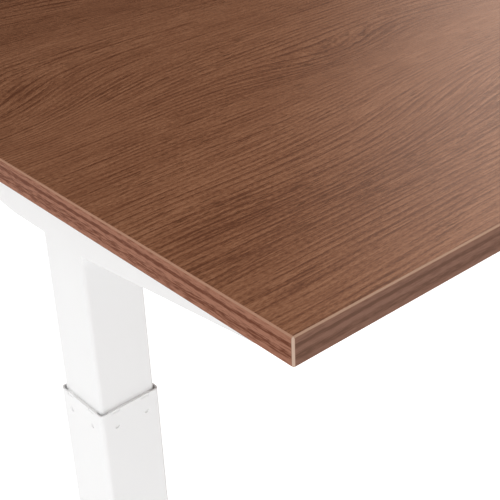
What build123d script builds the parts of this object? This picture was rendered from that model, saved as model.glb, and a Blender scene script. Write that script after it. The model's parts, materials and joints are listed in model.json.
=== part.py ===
from build123d import *
import os

# A height-adjustable standing desk with two electric two-stage legs.
#
# The desk stands on the floor at z = 0, with +X along its length to the user's right and the user on the
# -Y side. The origin is on the floor, under the middle of the desktop. Everything is drawn at one working
# height, with the desktop 901 mm up; from there it travels down to 720 mm and up to 1170 mm.
#
# Each leg is a square steel tube on a foot, with a smaller square tube that slides out of its top. The
# smaller tube is welded under a deep tapered bracket that runs from front to back under the desktop. The
# bracket hides a gearbox over the tube and a motor behind it, and the two brackets are joined by two
# telescopic rails.

os.makedirs("parts", exist_ok=True)

# ---- Driving dimensions, in millimetres ----

desk_length = 1400.0
desk_depth = 800.0
board_thickness = 25.0
laminate_thickness = 0.8
band_thickness = 2.0
edge_radius = 1.8

working_height = 901.0
lowest_height = 720.0

column_inset = 97.0
outer_tube_width = 75.0
inner_tube_width = 68.0
tube_wall = 1.8
outer_tube_radius = 5.0
inner_tube_radius = 4.0

bracket_depth = 96.0
bracket_half_length = 340.0
bracket_sheet = 2.5
bracket_flat_front = -40.0
bracket_flat_rear = 87.0
bracket_slope = 0.111
bracket_front_bend = -285.0
bracket_rear_bend = 300.0
bracket_end_height = 22.0
head_plate_thickness = 5.0

foot_length = 700.0
foot_width = 80.0
foot_wall = 3.0
foot_clearance = 12.0
foot_top = 44.0
foot_end_top = 34.0
foot_flat_half = 75.0
base_plate_thickness = 6.0
base_plate_half_length = 68.0
leveller_y = 318.0
leveller_thread = 8.0
boss_diameter = 18.0

spindle_diameter = 16.0
journal_diameter = 15.0
running_gap = 0.05
nut_tube_diameter = 30.0
nut_tube_bore = 25.0
nut_tube_top = 560.0
nut_length = 40.0

rail_y = 160.0
rail_width = 50.0
rail_height = 30.0
rail_wall = 1.5
sleeve_half_length = 350.0
rail_overlap = 100.0
flange_thickness = 4.0

control_box_x = 250.0
handset_x = 440.0

head_hole = 22.0
screw_m5_radius = 2.5
m6_radius = 3.0
m6_hole_radius = 3.2
m6_length = 10.0
m6_head_radius = 5.25
m6_head_height = 3.3
foot_bolt_radius = 4.0

glide_pin_radius = 2.6
glide_pin_recess = 1.3
glide_width = 54.0
glide_height = 36.0
lower_glide_rise = 2.0
lug_width = 9.0
lug_depth = 3.0
lug_recess = 0.5

housing_half_x = 30.0
housing_half_y = 34.0
housing_wall = 4.0
lid_thickness = 7.0
bearing_width = 11.0
bearing_radius = 17.5
bearing_seat_wall = 2.5
gear_teeth = 20
gear_pitch = 18.0
gear_width = 7.0
gear_tip = 18.8
gear_root = 16.8
tip_angle = 2.44
root_angle = 5.45
gear_hub_radius = 12.0
spindle_hub_radius = 11.0
pilot_radius = 13.0
pinion_hub_end = 28.0
pinion_shaft_end = 50.0
pinion_shaft_radius = 5.0
shaft_depth = 22.0
motor_flange = 46.0
motor_flange_thickness = 6.0
gearhead_radius = 21.0
gearhead_length = 40.0
motor_radius = 22.0
motor_length = 62.0
motor_cap_radius = 18.0
motor_cap_length = 9.0
nut_flange = 6.0

boss_height = 14.0
cap_thickness = 4.0
cap_tongue = 14.0
leveller_pad_radius = 17.0
leveller_pad_height = 7.0

control_box_y = 40.0
control_box_length = 250.0
control_box_width = 110.0
control_base_thickness = 3.0
control_cover_height = 35.0
control_wall = 2.5
control_ear = 14.0
inlet_width = 28.0
inlet_height = 20.0
inlet_depth = 20.0
vent_pitch = 6.0
vent_count = 14
vent_width = 2.5
vent_height = 16.0

handset_front_y = -398.0
handset_depth = 60.0
handset_width = 112.0
handset_height = 21.0
handset_wall = 2.5
handset_ear = 14.0
handset_ear_depth = 26.0
handset_ear_thickness = 3.0
fascia_thickness = 2.0
button_width = 15.0
button_height = 10.0
button_proud = 1.5
# Each button's place across the handset, and its mark: an upward arrow, a downward arrow or a dot.
handset_buttons = ((-30.0, 1), (0.0, -1), (30.0, 0))

# ---- Heights and positions that follow from them ----

top_z = working_height
under_z = working_height - board_thickness
board_mid_z = (top_z + under_z) / 2
core_bottom_z = under_z + laminate_thickness
core_top_z = top_z - laminate_thickness
column_x = desk_length / 2 - column_inset
head_z = under_z - bracket_depth
gearbox_z = head_z + head_plate_thickness
travel_down = working_height - lowest_height
stage_gap = 10.0
rim_z = head_z - travel_down - stage_gap
foot_slack = 10.0
base_plate_top = foot_top + base_plate_thickness
inner_tube_bottom = base_plate_top + travel_down + 2.0
spindle_bottom = base_plate_top + travel_down + foot_slack - 2.0

inner_face = inner_tube_width / 2
outer_face = outer_tube_width / 2
outer_bore_face = outer_face - tube_wall
inner_bore_face = inner_face - tube_wall
bracket_inner_width = inner_tube_width - 2 * bracket_sheet

# The bevel gears' axes cross here, above the spindle.
bevel_z = head_z + 57.0

glide_pin_x = 19.0
glide_gap = 0.15
rail_bolt_offset = 35.0
rail_bolt_z = under_z - 18.0
foot_bolt_x = 22.0
foot_bolt_y = 54.0

housing_top = bevel_z + 20.0
motor_front = housing_half_y
gearbox_screw_x = 21.0
gearbox_screw_y = 25.0
lower_glide_pin_z = inner_tube_bottom + 20.0
upper_glide_pin_z = rim_z - 21.0
rail_bolt_y = [y + step for y in (-rail_y, rail_y) for step in (-rail_bolt_offset, rail_bolt_offset)]
control_screws = [
    (control_box_x + end * (control_box_length / 2 + control_ear / 2), control_box_y + row * 35)
    for end in (-1, 1)
    for row in (-1, 1)
]
handset_screws = [
    (handset_x + end * (handset_width / 2 + handset_ear / 2), handset_front_y + handset_depth / 2)
    for end in (-1, 1)
]

sides = (("left", -1), ("right", 1))
desktop_screw_y = (-300.0, -215.0, 215.0, 300.0)
sleeve_screw_x = (-150.0, 150.0)
clamp_screw_x = (270.0, 330.0)


def save(builder, label):
    """Names a finished piece and writes it as parts/label.step."""
    builder.part.label = label
    export_step(builder.part, f"parts/{label}.step")


# ---- Desktop: faced core and four edge bands ----


def edge_band(width_x, width_y, centre_x, centre_y):
    """One strip of edge band, cut from the desktop's rounded outline."""
    with BuildPart() as band:
        with Locations((0, 0, board_mid_z)):
            Box(desk_length, desk_depth, board_thickness)
        fillet(band.edges(), edge_radius)
        with Locations((centre_x, centre_y, board_mid_z)):
            Box(width_x, width_y, board_thickness, mode=Mode.INTERSECT)
    return band


core_length = desk_length - 2 * band_thickness
core_depth = desk_depth - 2 * band_thickness
band_y = (desk_depth - band_thickness) / 2
band_x = (desk_length - band_thickness) / 2

save(edge_band(desk_length, band_thickness, 0, -band_y), "edge_band_front")
save(edge_band(desk_length, band_thickness, 0, band_y), "edge_band_back")
save(edge_band(band_thickness, core_depth, -band_x, 0), "edge_band_left")
save(edge_band(band_thickness, core_depth, band_x, 0), "edge_band_right")

# Every screw up into the desktop: its place, and how far under the desktop its head sits.
screw_seats = [(s * column_x, y, bracket_sheet) for _, s in sides for y in desktop_screw_y]
screw_seats += [(x, y, rail_height) for x in sleeve_screw_x for y in (-rail_y, rail_y)]
screw_seats += [(x, y, control_base_thickness) for x, y in control_screws]
screw_seats += [(x, y, handset_ear_thickness) for x, y in handset_screws]
desktop_screw_places = [(x, y) for x, y, _ in screw_seats]
wood_screw_diameter = 5.0
wood_screw_depth = 15.0

with BuildPart() as desktop_core:
    with Locations((0, 0, (core_bottom_z + core_top_z) / 2)):
        Box(core_length, core_depth, core_top_z - core_bottom_z)
    with BuildSketch(Plane.XY.offset(core_bottom_z)):
        with Locations(*desktop_screw_places):
            Circle(wood_screw_diameter / 2)
    extrude(amount=wood_screw_depth, mode=Mode.SUBTRACT)
save(desktop_core, "desktop_core")

with BuildPart() as desktop_top_laminate:
    with Locations((0, 0, top_z - laminate_thickness / 2)):
        Box(core_length, core_depth, laminate_thickness)
save(desktop_top_laminate, "desktop_top_laminate")

with BuildPart() as desktop_backing_laminate:
    with Locations((0, 0, under_z + laminate_thickness / 2)):
        Box(core_length, core_depth, laminate_thickness)
    with BuildSketch(Plane.XY.offset(under_z)):
        with Locations(*desktop_screw_places):
            Circle(wood_screw_diameter / 2)
    extrude(amount=laminate_thickness, mode=Mode.SUBTRACT)
save(desktop_backing_laminate, "desktop_backing_laminate")

# Pan-head screws, up through the brackets' top plates and the rails' sleeves. A rail screw's head sits on
# the sleeve's bottom wall, so its shank runs up through the sleeve.
screw_head_radius = 5.0
screw_head_height = 3.0
standing = (Align.CENTER, Align.CENTER, Align.MIN)
hanging = (Align.CENTER, Align.CENTER, Align.MAX)


def wood_screw(x, y, seat_z):
    """A pan-head screw whose head sits under seat_z and whose shank reaches into the core."""
    shank_length = core_bottom_z + wood_screw_depth - 1.0 - seat_z
    with Locations((x, y, seat_z)):
        Cylinder(screw_head_radius, screw_head_height, align=hanging)
        Cylinder(wood_screw_diameter / 2 - running_gap, shank_length, align=standing)


with BuildPart() as desktop_screws:
    for x, y, seat in screw_seats:
        wood_screw(x, y, under_z - seat)
save(desktop_screws, "desktop_screws")


# ---- Side brackets, inner tubes and what they carry ----


def bracket_lower_edge(y):
    """Height of a side bracket's lower edge at depth y, on its flat or on its two slopes."""
    beyond = max(bracket_flat_front - y, y - bracket_flat_rear, 0)
    return head_z + bracket_slope * beyond


def side_bracket(s):
    """The folded channel under one end of the desktop, open below, with tapered webs."""
    x = s * column_x
    with BuildPart() as bracket:
        with BuildSketch(Plane.YZ.offset(x - inner_face)):
            with BuildLine():
                Polyline(
                    (-bracket_half_length, under_z),
                    (-bracket_half_length, under_z - bracket_end_height),
                    (bracket_front_bend, bracket_lower_edge(bracket_front_bend)),
                    (bracket_flat_front, head_z),
                    (bracket_flat_rear, head_z),
                    (bracket_rear_bend, bracket_lower_edge(bracket_rear_bend)),
                    (bracket_half_length, under_z - bracket_end_height),
                    (bracket_half_length, under_z),
                    close=True,
                )
            make_face()
        extrude(amount=inner_tube_width)
        fillet(bracket.edges().filter_by(Axis.Y).group_by(Axis.Z)[-1], bracket_sheet)
        cavity_half_length = bracket_half_length - bracket_sheet
        with Locations((x, 0, under_z - bracket_sheet - bracket_depth)):
            Box(bracket_inner_width, 2 * cavity_half_length, 2 * bracket_depth, mode=Mode.SUBTRACT)
        with BuildSketch(Plane.XY.offset(under_z)):
            with Locations(*[(x, y) for y in desktop_screw_y]):
                Circle(wood_screw_diameter / 2)
        extrude(amount=-bracket_sheet, mode=Mode.SUBTRACT)
        with BuildSketch(Plane.YZ.offset(x - s * (inner_face - bracket_sheet / 2))):
            with Locations(*[(y, rail_bolt_z) for y in rail_bolt_y]):
                Circle(m6_hole_radius)
        extrude(amount=bracket_sheet, both=True, mode=Mode.SUBTRACT)
    return bracket


def tube_section(x, width, radius):
    """Draws a square tube's section on the active sketch, on a column's axis."""
    bore = width - 2 * tube_wall
    with Locations((x, 0)):
        RectangleRounded(width, width, radius)
        RectangleRounded(bore, bore, radius - tube_wall, mode=Mode.SUBTRACT)


def pin_holes(x, z):
    """Cuts two holes through each wall of the active tube for the pins of its glides."""
    for plane, centre in ((Plane.XZ, x), (Plane.YZ.offset(x), 0)):
        with BuildSketch(plane) as pins:
            with Locations((centre - glide_pin_x, z), (centre + glide_pin_x, z)):
                Circle(glide_pin_radius + running_gap)
        extrude(pins.sketch, amount=outer_tube_width, both=True, mode=Mode.SUBTRACT)


def inner_tube(x):
    """The tube welded under the head plate, with holes for its glides near its bottom."""
    with BuildPart() as tube:
        with BuildSketch(Plane.XY.offset(inner_tube_bottom)):
            tube_section(x, inner_tube_width, inner_tube_radius)
        extrude(amount=head_z - inner_tube_bottom)
        pin_holes(x, lower_glide_pin_z)
    return tube


def outer_tube(x):
    """The tube on the foot, with holes and rim notches for the glides at its top."""
    with BuildPart() as tube:
        with BuildSketch(Plane.XY.offset(base_plate_top)):
            tube_section(x, outer_tube_width, outer_tube_radius)
        extrude(amount=rim_z - base_plate_top)
        pin_holes(x, upper_glide_pin_z)
        notch = lug_width + 0.6
        for across in (-glide_pin_x, glide_pin_x):
            with Locations((x + across, 0, rim_z)):
                Box(notch, 2 * outer_tube_width, 2 * lug_depth, mode=Mode.SUBTRACT)
            with Locations((x, across, rim_z)):
                Box(2 * outer_tube_width, notch, 2 * lug_depth, mode=Mode.SUBTRACT)
    return tube


def glide_planes(x):
    """The planes of a column's four faces, through its axis: x runs across the face, y up and z outwards."""
    for out_x, out_y in ((0, -1), (1, 0), (0, 1), (-1, 0)):
        yield Plane(origin=(x, 0, 0), x_dir=(-out_y, out_x, 0), z_dir=(out_x, out_y, 0))


def glide_pads(x, near, far, bottom, pin_z, pin_from, pin_to):
    """Four plastic pads, one on each face of a column, each with two pins.

    Distances are from the column's axis.
    """
    with BuildPart() as pads:
        for side in glide_planes(x):
            with BuildSketch(side.offset(near)):
                with Locations((0, bottom + glide_height / 2)):
                    Rectangle(glide_width, glide_height)
            extrude(amount=far - near)
            with BuildSketch(side.offset(pin_from)):
                with Locations((-glide_pin_x, pin_z), (glide_pin_x, pin_z)):
                    Circle(glide_pin_radius)
            extrude(amount=pin_to - pin_from)
    return pads


def upper_glides(x):
    """Pads inside the outer tube's rim, pinned through its walls and with two lugs each in its notches."""
    near = inner_face + glide_gap
    pin_end = outer_face - glide_pin_recess
    pads = glide_pads(x, near, outer_bore_face, rim_z - glide_height, upper_glide_pin_z, outer_bore_face, pin_end)
    with BuildPart() as lugged:
        add(pads.part)
        for side in glide_planes(x):
            with BuildSketch(side.offset(near)):
                with Locations((-glide_pin_x, rim_z - lug_depth / 2), (glide_pin_x, rim_z - lug_depth / 2)):
                    Rectangle(lug_width, lug_depth)
            extrude(amount=outer_face - lug_recess - near)
    return lugged


for side_name, s in sides:
    x = s * column_x
    save(side_bracket(s), f"{side_name}_side_bracket")
    save(inner_tube(x), f"{side_name}_inner_tube")
    save(outer_tube(x), f"{side_name}_outer_tube")
    save(upper_glides(x), f"{side_name}_upper_glides")
    lower_far = outer_bore_face - glide_gap
    lower_bottom = inner_tube_bottom + lower_glide_rise
    lower = glide_pads(x, inner_face, lower_far, lower_bottom, lower_glide_pin_z, inner_face, inner_bore_face)
    save(lower, f"{side_name}_lower_glides")

with BuildPart() as head_plates:
    for _, s in sides:
        with BuildSketch(Plane.XY.offset(head_z)):
            with Locations((s * column_x, (bracket_flat_front + bracket_flat_rear) / 2)):
                Rectangle(bracket_inner_width, bracket_flat_rear - bracket_flat_front)
            with Locations((s * column_x, 0)):
                Circle(head_hole / 2, mode=Mode.SUBTRACT)
                with GridLocations(2 * gearbox_screw_x, 2 * gearbox_screw_y, 2, 2):
                    Circle(screw_m5_radius + running_gap, mode=Mode.SUBTRACT)
        extrude(amount=head_plate_thickness)
save(head_plates, "head_plates")


# ---- Gearboxes and motors ----


def gearbox_housing(x):
    """A cast box on the head plate, open at the top, with a seat for the spindle's bearing."""
    floor_z = gearbox_z + housing_wall
    with BuildPart() as housing:
        with BuildSketch(Plane.XY.offset(gearbox_z)):
            with Locations((x, 0)):
                RectangleRounded(2 * housing_half_x, 2 * housing_half_y, 5)
        extrude(amount=housing_top - gearbox_z)
        with BuildSketch(Plane.XY.offset(floor_z)):
            with Locations((x, 0)):
                RectangleRounded(2 * (housing_half_x - housing_wall), 2 * (housing_half_y - housing_wall), 2)
        extrude(amount=housing_top - floor_z, mode=Mode.SUBTRACT)
        with BuildSketch(Plane.XY.offset(floor_z)):
            with Locations((x, 0)):
                Circle(bearing_radius + bearing_seat_wall)
                Circle(bearing_radius, mode=Mode.SUBTRACT)
        extrude(amount=bearing_width)
        with BuildSketch(Plane.XY.offset(gearbox_z)):
            with Locations((x, 0)):
                Circle(head_hole / 2)
                with GridLocations(2 * gearbox_screw_x, 2 * gearbox_screw_y, 2, 2):
                    Circle(screw_m5_radius + running_gap)
        extrude(amount=housing_wall, mode=Mode.SUBTRACT)
        with BuildSketch(Plane.XZ.offset(-housing_half_y)):
            with Locations((x, bevel_z)):
                Circle(pilot_radius)
        extrude(amount=housing_wall, mode=Mode.SUBTRACT)
    return housing


def motor(x):
    """A brushed motor with a planetary gearhead, bolted flat to the gearbox's rear wall."""
    with BuildPart() as body:
        with BuildSketch(Plane.XZ.offset(-motor_front)):
            with Locations((x, bevel_z)):
                RectangleRounded(motor_flange, motor_flange, 6)
        extrude(amount=-motor_flange_thickness)
        with Locations(Plane(origin=(x, motor_front, bevel_z), x_dir=(1, 0, 0), z_dir=(0, 1, 0))):
            Cylinder(gearhead_radius, gearhead_length, align=standing)
            Cylinder(pilot_radius - running_gap, housing_wall, align=hanging)
            with Locations((0, 0, gearhead_length)):
                Cylinder(motor_radius, motor_length, align=standing)
            with Locations((0, 0, gearhead_length + motor_length)):
                Cylinder(motor_cap_radius, motor_cap_length, align=standing)
            with Locations((0, 0, -housing_wall)):
                Cylinder(pinion_shaft_radius + running_gap, shaft_depth, align=standing, mode=Mode.SUBTRACT)
    return body


def tooth_outline(phase, scale):
    """Corners of a bevel gear's toothed outline at one station, as a fraction of its wide end."""
    corners = []
    for tooth in range(gear_teeth):
        middle = phase + tooth * 360 / gear_teeth
        for side in (-1, 1):
            pair = [(gear_root, side * root_angle), (gear_tip, side * tip_angle)]
            for radius, angle in pair[::-side]:
                corners.append(Vector(radius * scale, 0).rotate(Axis.Z, middle + angle))
    return corners


def bevel_gear(face_plane, phase):
    """Adds a 45-degree bevel gear and its hub to the active part; it narrows along the plane's z."""
    outlines = []
    for station, scale in ((0.0, 1.0), (gear_width, (gear_pitch - gear_width) / gear_pitch)):
        with BuildSketch(face_plane.offset(station)) as outline:
            Polygon(*[(corner.X, corner.Y) for corner in tooth_outline(phase, scale)], align=None)
        outlines.append(outline.sketch)
    loft(outlines, ruled=True)


def drive_pinion(x):
    """The motor's output shaft with its bevel gear, pointing forwards over the spindle."""
    with BuildPart() as pinion:
        plane = Plane(origin=(x, gear_pitch, bevel_z), x_dir=(1, 0, 0), z_dir=(0, -1, 0))
        bevel_gear(plane, 180 / gear_teeth)
        with BuildSketch(plane):
            Circle(gear_hub_radius)
        extrude(amount=-(pinion_hub_end - gear_pitch))
        with BuildSketch(plane):
            Circle(pinion_shaft_radius)
        extrude(amount=-(pinion_shaft_end - gear_pitch))
    return pinion


def spindle_gear(x):
    """The bevel gear pressed on the spindle's top, its hub standing on the bearing."""
    with BuildPart() as gear:
        plane = Plane(origin=(x, 0, bevel_z - gear_pitch), z_dir=(0, 0, 1))
        bevel_gear(plane, 0)
        hub_bottom = gearbox_z + housing_wall + bearing_width
        with BuildSketch(plane):
            Circle(spindle_hub_radius)
        extrude(amount=-(bevel_z - gear_pitch - hub_bottom))
        with Locations((x, 0, bevel_z - gear_pitch)):
            Cylinder(journal_diameter / 2, bracket_depth, mode=Mode.SUBTRACT)
    return gear


def spindle(x):
    """The lifting screw at its thread's outside diameter, with a thinner journal through bearing and gear."""
    shoulder_z = gearbox_z + housing_wall
    journal_top = bevel_z - gear_pitch + gear_width
    with BuildPart() as screw:
        with BuildSketch(Plane.XY.offset(spindle_bottom)):
            with Locations((x, 0)):
                Circle(spindle_diameter / 2)
        extrude(amount=shoulder_z - spindle_bottom)
        chamfer(screw.edges().group_by(Axis.Z)[0], 1.5)
        with BuildSketch(Plane.XY.offset(shoulder_z)):
            with Locations((x, 0)):
                Circle(journal_diameter / 2)
        extrude(amount=journal_top - shoulder_z)
    return screw


def nut_tube(x):
    """The tube that stands on the base plate and carries the nut."""
    with BuildPart() as tube:
        with BuildSketch(Plane.XY.offset(base_plate_top)):
            with Locations((x, 0)):
                Circle(nut_tube_diameter / 2)
                Circle(nut_tube_bore / 2, mode=Mode.SUBTRACT)
        extrude(amount=nut_tube_top - base_plate_top)
    return tube


def lifting_nut(x):
    """A flanged plastic nut pressed into the top of its tube."""
    with BuildPart() as nut:
        with BuildSketch(Plane.XY.offset(nut_tube_top - nut_length)):
            with Locations((x, 0)):
                Circle(nut_tube_bore / 2)
        extrude(amount=nut_length)
        with BuildSketch(Plane.XY.offset(nut_tube_top)):
            with Locations((x, 0)):
                Circle(nut_tube_diameter / 2)
        extrude(amount=nut_flange)
        with Locations((x, 0, nut_tube_top)):
            Cylinder(spindle_diameter / 2 + running_gap, 2 * nut_length, mode=Mode.SUBTRACT)
    return nut


for side_name, s in sides:
    x = s * column_x
    save(gearbox_housing(x), f"{side_name}_gearbox_housing")
    save(motor(x), f"{side_name}_motor")
    save(drive_pinion(x), f"{side_name}_drive_pinion")
    save(spindle_gear(x), f"{side_name}_spindle_gear")
    save(spindle(x), f"{side_name}_spindle")
    save(nut_tube(x), f"{side_name}_nut_tube")
    save(lifting_nut(x), f"{side_name}_lifting_nut")

with BuildPart() as gearbox_lids:
    with BuildSketch(Plane.XY.offset(housing_top)):
        with Locations((-column_x, 0), (column_x, 0)):
            RectangleRounded(2 * housing_half_x, 2 * housing_half_y, 5)
    extrude(amount=lid_thickness)
save(gearbox_lids, "gearbox_lids")

with BuildPart() as spindle_bearings:
    with BuildSketch(Plane.XY.offset(gearbox_z + housing_wall)):
        with Locations((-column_x, 0), (column_x, 0)):
            Circle(bearing_radius)
            Circle(journal_diameter / 2, mode=Mode.SUBTRACT)
    extrude(amount=bearing_width)
save(spindle_bearings, "spindle_bearings")

with BuildPart() as gearbox_screws:
    for _, s in sides:
        for plane_z, radius, amount in (
            (gearbox_z + housing_wall, 4.5, 3.0),
            (gearbox_z + housing_wall, screw_m5_radius, -(housing_wall + head_plate_thickness)),
        ):
            with BuildSketch(Plane.XY.offset(plane_z)):
                with Locations((s * column_x, 0)):
                    with GridLocations(2 * gearbox_screw_x, 2 * gearbox_screw_y, 2, 2):
                        Circle(radius)
            extrude(amount=amount)
save(gearbox_screws, "gearbox_screws")


# ---- Rails between the brackets ----

sleeve_inner_width = rail_width - 2 * rail_wall
sleeve_inner_height = rail_height - 2 * rail_wall
arm_width = sleeve_inner_width - 0.4
arm_height = sleeve_inner_height - 0.4
rail_mid_z = under_z - rail_height / 2
flange_face_x = column_x - inner_face


def clamp_holes(x_signs):
    """Cuts the clamp screws' holes up through the rails' bottom walls."""
    places = [(sign * x, y) for sign in x_signs for x in clamp_screw_x for y in (-rail_y, rail_y)]
    with BuildSketch(Plane.XY.offset(under_z - rail_height)) as holes:
        with Locations(*places):
            Circle(m6_hole_radius)
    extrude(holes.sketch, amount=rail_height / 2, mode=Mode.SUBTRACT)


with BuildPart() as rail_sleeves:
    with BuildSketch(Plane.YZ.offset(-sleeve_half_length)):
        with Locations((-rail_y, rail_mid_z), (rail_y, rail_mid_z)):
            RectangleRounded(rail_width, rail_height, 3)
            RectangleRounded(sleeve_inner_width, sleeve_inner_height, 1.5, mode=Mode.SUBTRACT)
    extrude(amount=2 * sleeve_half_length)
    clamp_holes((-1, 1))
    with BuildSketch(Plane.XY.offset(under_z)):
        with Locations(*[(x, y) for x in sleeve_screw_x for y in (-rail_y, rail_y)]):
            Circle(wood_screw_diameter / 2)
    extrude(amount=-rail_height, mode=Mode.SUBTRACT)
save(rail_sleeves, "rail_sleeves")


def rail_arms(s):
    """The two tubes that slide into the sleeves from one end, with a flange on each for its bracket."""
    flange_x = s * (flange_face_x - flange_thickness)
    with BuildPart() as arms:
        with BuildSketch(Plane.YZ.offset(s * (sleeve_half_length - rail_overlap))):
            with Locations((-rail_y, rail_mid_z), (rail_y, rail_mid_z)):
                RectangleRounded(arm_width, arm_height, 1.5)
                RectangleRounded(arm_width - 2 * rail_wall, arm_height - 2 * rail_wall, 0.5, mode=Mode.SUBTRACT)
        extrude(amount=flange_x - s * (sleeve_half_length - rail_overlap))
        with BuildSketch(Plane.YZ.offset(flange_x)):
            with Locations((-rail_y, rail_bolt_z), (rail_y, rail_bolt_z)):
                RectangleRounded(2 * rail_bolt_offset + 20, rail_height, 4)
            with Locations(*[(y, rail_bolt_z) for y in rail_bolt_y]):
                Circle(m6_hole_radius, mode=Mode.SUBTRACT)
        extrude(amount=s * flange_thickness)
        clamp_holes((s,))
    return arms


for side_name, s in sides:
    save(rail_arms(s), f"{side_name}_rail_arms")


def rail_screw(seat):
    """An M6 button-head screw: its shank runs along the seat plane's z, and its head stands behind it."""
    with Locations(seat):
        Cylinder(m6_radius, m6_length, align=standing)
        Cylinder(m6_head_radius, m6_head_height, align=hanging)


with BuildPart() as rail_screws:
    for _, s in sides:
        for y in rail_bolt_y:
            seat_x = s * (flange_face_x - flange_thickness)
            rail_screw(Plane(origin=(seat_x, y, rail_bolt_z), x_dir=(0, 1, 0), z_dir=(s, 0, 0)))
        for x in clamp_screw_x:
            for y in (-rail_y, rail_y):
                rail_screw(Plane(origin=(s * x, y, under_z - rail_height), x_dir=(1, 0, 0), z_dir=(0, 0, 1)))
save(rail_screws, "rail_screws")


# ---- Feet ----


def foot_profile(inset):
    """Draws the foot beam's side view on the active sketch, shrunk by an inset for its hollow."""
    half = foot_length / 2
    Polygon(
        (-half, foot_clearance + inset),
        (-half, foot_end_top - inset),
        (-foot_flat_half, foot_top - inset),
        (foot_flat_half, foot_top - inset),
        (half, foot_end_top - inset),
        (half, foot_clearance + inset),
        align=None,
    )


def foot_beam(x):
    """A hollow beam with open ends, its top falling to both ends, and a threaded boss over each leveller."""
    with BuildPart() as beam:
        with BuildSketch(Plane.YZ.offset(x - foot_width / 2)):
            foot_profile(0)
        extrude(amount=foot_width)
        fillet(beam.edges().filter_by(lambda edge: abs(edge.tangent_at(0).Y) > 0.9), 3)
        with BuildSketch(Plane.YZ.offset(x - foot_width / 2 + foot_wall)):
            foot_profile(foot_wall)
        extrude(amount=foot_width - 2 * foot_wall, mode=Mode.SUBTRACT)
        with BuildSketch(Plane.XY.offset(foot_clearance + foot_wall)):
            with Locations((x, -leveller_y), (x, leveller_y)):
                Circle(boss_diameter / 2)
        extrude(amount=boss_height)
        with BuildSketch(Plane.XY.offset(foot_clearance)):
            with Locations((x, -leveller_y), (x, leveller_y)):
                Circle(leveller_thread / 2 + running_gap)
        extrude(amount=foot_wall + boss_height, mode=Mode.SUBTRACT)
        with BuildSketch(Plane.XY.offset(foot_top)):
            with Locations((x, 0)):
                with GridLocations(2 * foot_bolt_x, 2 * foot_bolt_y, 2, 2):
                    Circle(foot_bolt_radius + running_gap)
        extrude(amount=-foot_wall, mode=Mode.SUBTRACT)
    return beam


def foot_end_caps(x):
    """Plastic caps on both ends of a foot beam, each with a tongue inside it."""
    half = foot_length / 2
    cap_height = foot_end_top - foot_clearance
    mid_z = foot_clearance + cap_height / 2
    with BuildPart() as caps:
        for end in (-1, 1):
            face = Plane(origin=(x, end * half, mid_z), x_dir=(-end, 0, 0), z_dir=(0, end, 0))
            with BuildSketch(face):
                RectangleRounded(foot_width, cap_height, 4)
            extrude(amount=cap_thickness)
            fillet(caps.faces().sort_by(Axis.Y)[-1 if end > 0 else 0].edges(), 1.5)
            with BuildSketch(face):
                RectangleRounded(foot_width - 2 * foot_wall - 1.0, cap_height - 2 * foot_wall - 0.6, 2)
            extrude(amount=-cap_tongue)
    return caps


def base_plate(x):
    """The plate welded under the outer tube and bolted to the foot beam."""
    with BuildPart() as plate:
        with BuildSketch(Plane.XY.offset(foot_top)):
            with Locations((x, 0)):
                RectangleRounded(foot_width - 4, 2 * base_plate_half_length, 5)
                with GridLocations(2 * foot_bolt_x, 2 * foot_bolt_y, 2, 2):
                    Circle(foot_bolt_radius + running_gap, mode=Mode.SUBTRACT)
        extrude(amount=base_plate_thickness)
    return plate


def foot_bolts(x):
    """Four M8 socket bolts down through the base plate, with washers."""
    with BuildPart() as bolts:
        for radius, start, amount in (
            (foot_bolt_radius, base_plate_top, -(base_plate_thickness + foot_wall + 12)),
            (8.0, base_plate_top, 1.6),
            (6.5, base_plate_top + 1.6, 8.0),
        ):
            with BuildSketch(Plane.XY.offset(start)):
                with Locations((x, 0)):
                    with GridLocations(2 * foot_bolt_x, 2 * foot_bolt_y, 2, 2):
                        Circle(radius)
            extrude(amount=amount)
        with BuildSketch(Plane.XY.offset(base_plate_top + 9.6)):
            with Locations((x, 0)):
                with GridLocations(2 * foot_bolt_x, 2 * foot_bolt_y, 2, 2):
                    RegularPolygon(3.4, 6)
        extrude(amount=-4, mode=Mode.SUBTRACT)
    return bolts


def leveller(x, y):
    """A screw foot: a pad on the floor, a hexagon to turn it by and a stud up into the beam."""
    with BuildPart() as foot:
        with BuildSketch():
            with Locations((x, y)):
                Circle(leveller_pad_radius)
        extrude(amount=leveller_pad_height)
        chamfer(foot.edges().group_by(Axis.Z)[-1], 2)
        with BuildSketch(Plane.XY.offset(leveller_pad_height)):
            with Locations((x, y)):
                RegularPolygon(7.0, 6)
        extrude(amount=foot_clearance - leveller_pad_height)
        with BuildSketch(Plane.XY.offset(foot_clearance)):
            with Locations((x, y)):
                Circle(leveller_thread / 2)
        extrude(amount=foot_wall + boss_height)
    return foot


for side_name, s in sides:
    x = s * column_x
    save(base_plate(x), f"{side_name}_base_plate")
    save(foot_beam(x), f"{side_name}_foot_beam")
    save(foot_end_caps(x), f"{side_name}_foot_end_caps")
    save(foot_bolts(x), f"{side_name}_foot_bolts")
    save(leveller(x, -leveller_y), f"{side_name}_front_leveller")
    save(leveller(x, leveller_y), f"{side_name}_back_leveller")


# ---- Control box ----

with BuildPart() as control_box_base:
    with BuildSketch(Plane.XY.offset(under_z - control_base_thickness)):
        with Locations((control_box_x, control_box_y)):
            RectangleRounded(control_box_length + 2 * control_ear, control_box_width, 6)
        with Locations(*control_screws):
            Circle(wood_screw_diameter / 2, mode=Mode.SUBTRACT)
    extrude(amount=control_base_thickness)
save(control_box_base, "control_box_base")

control_cover_top = under_z - control_base_thickness
inlet_x = control_box_x - control_box_length / 2
inlet_z = control_cover_top - control_cover_height / 2

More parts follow.
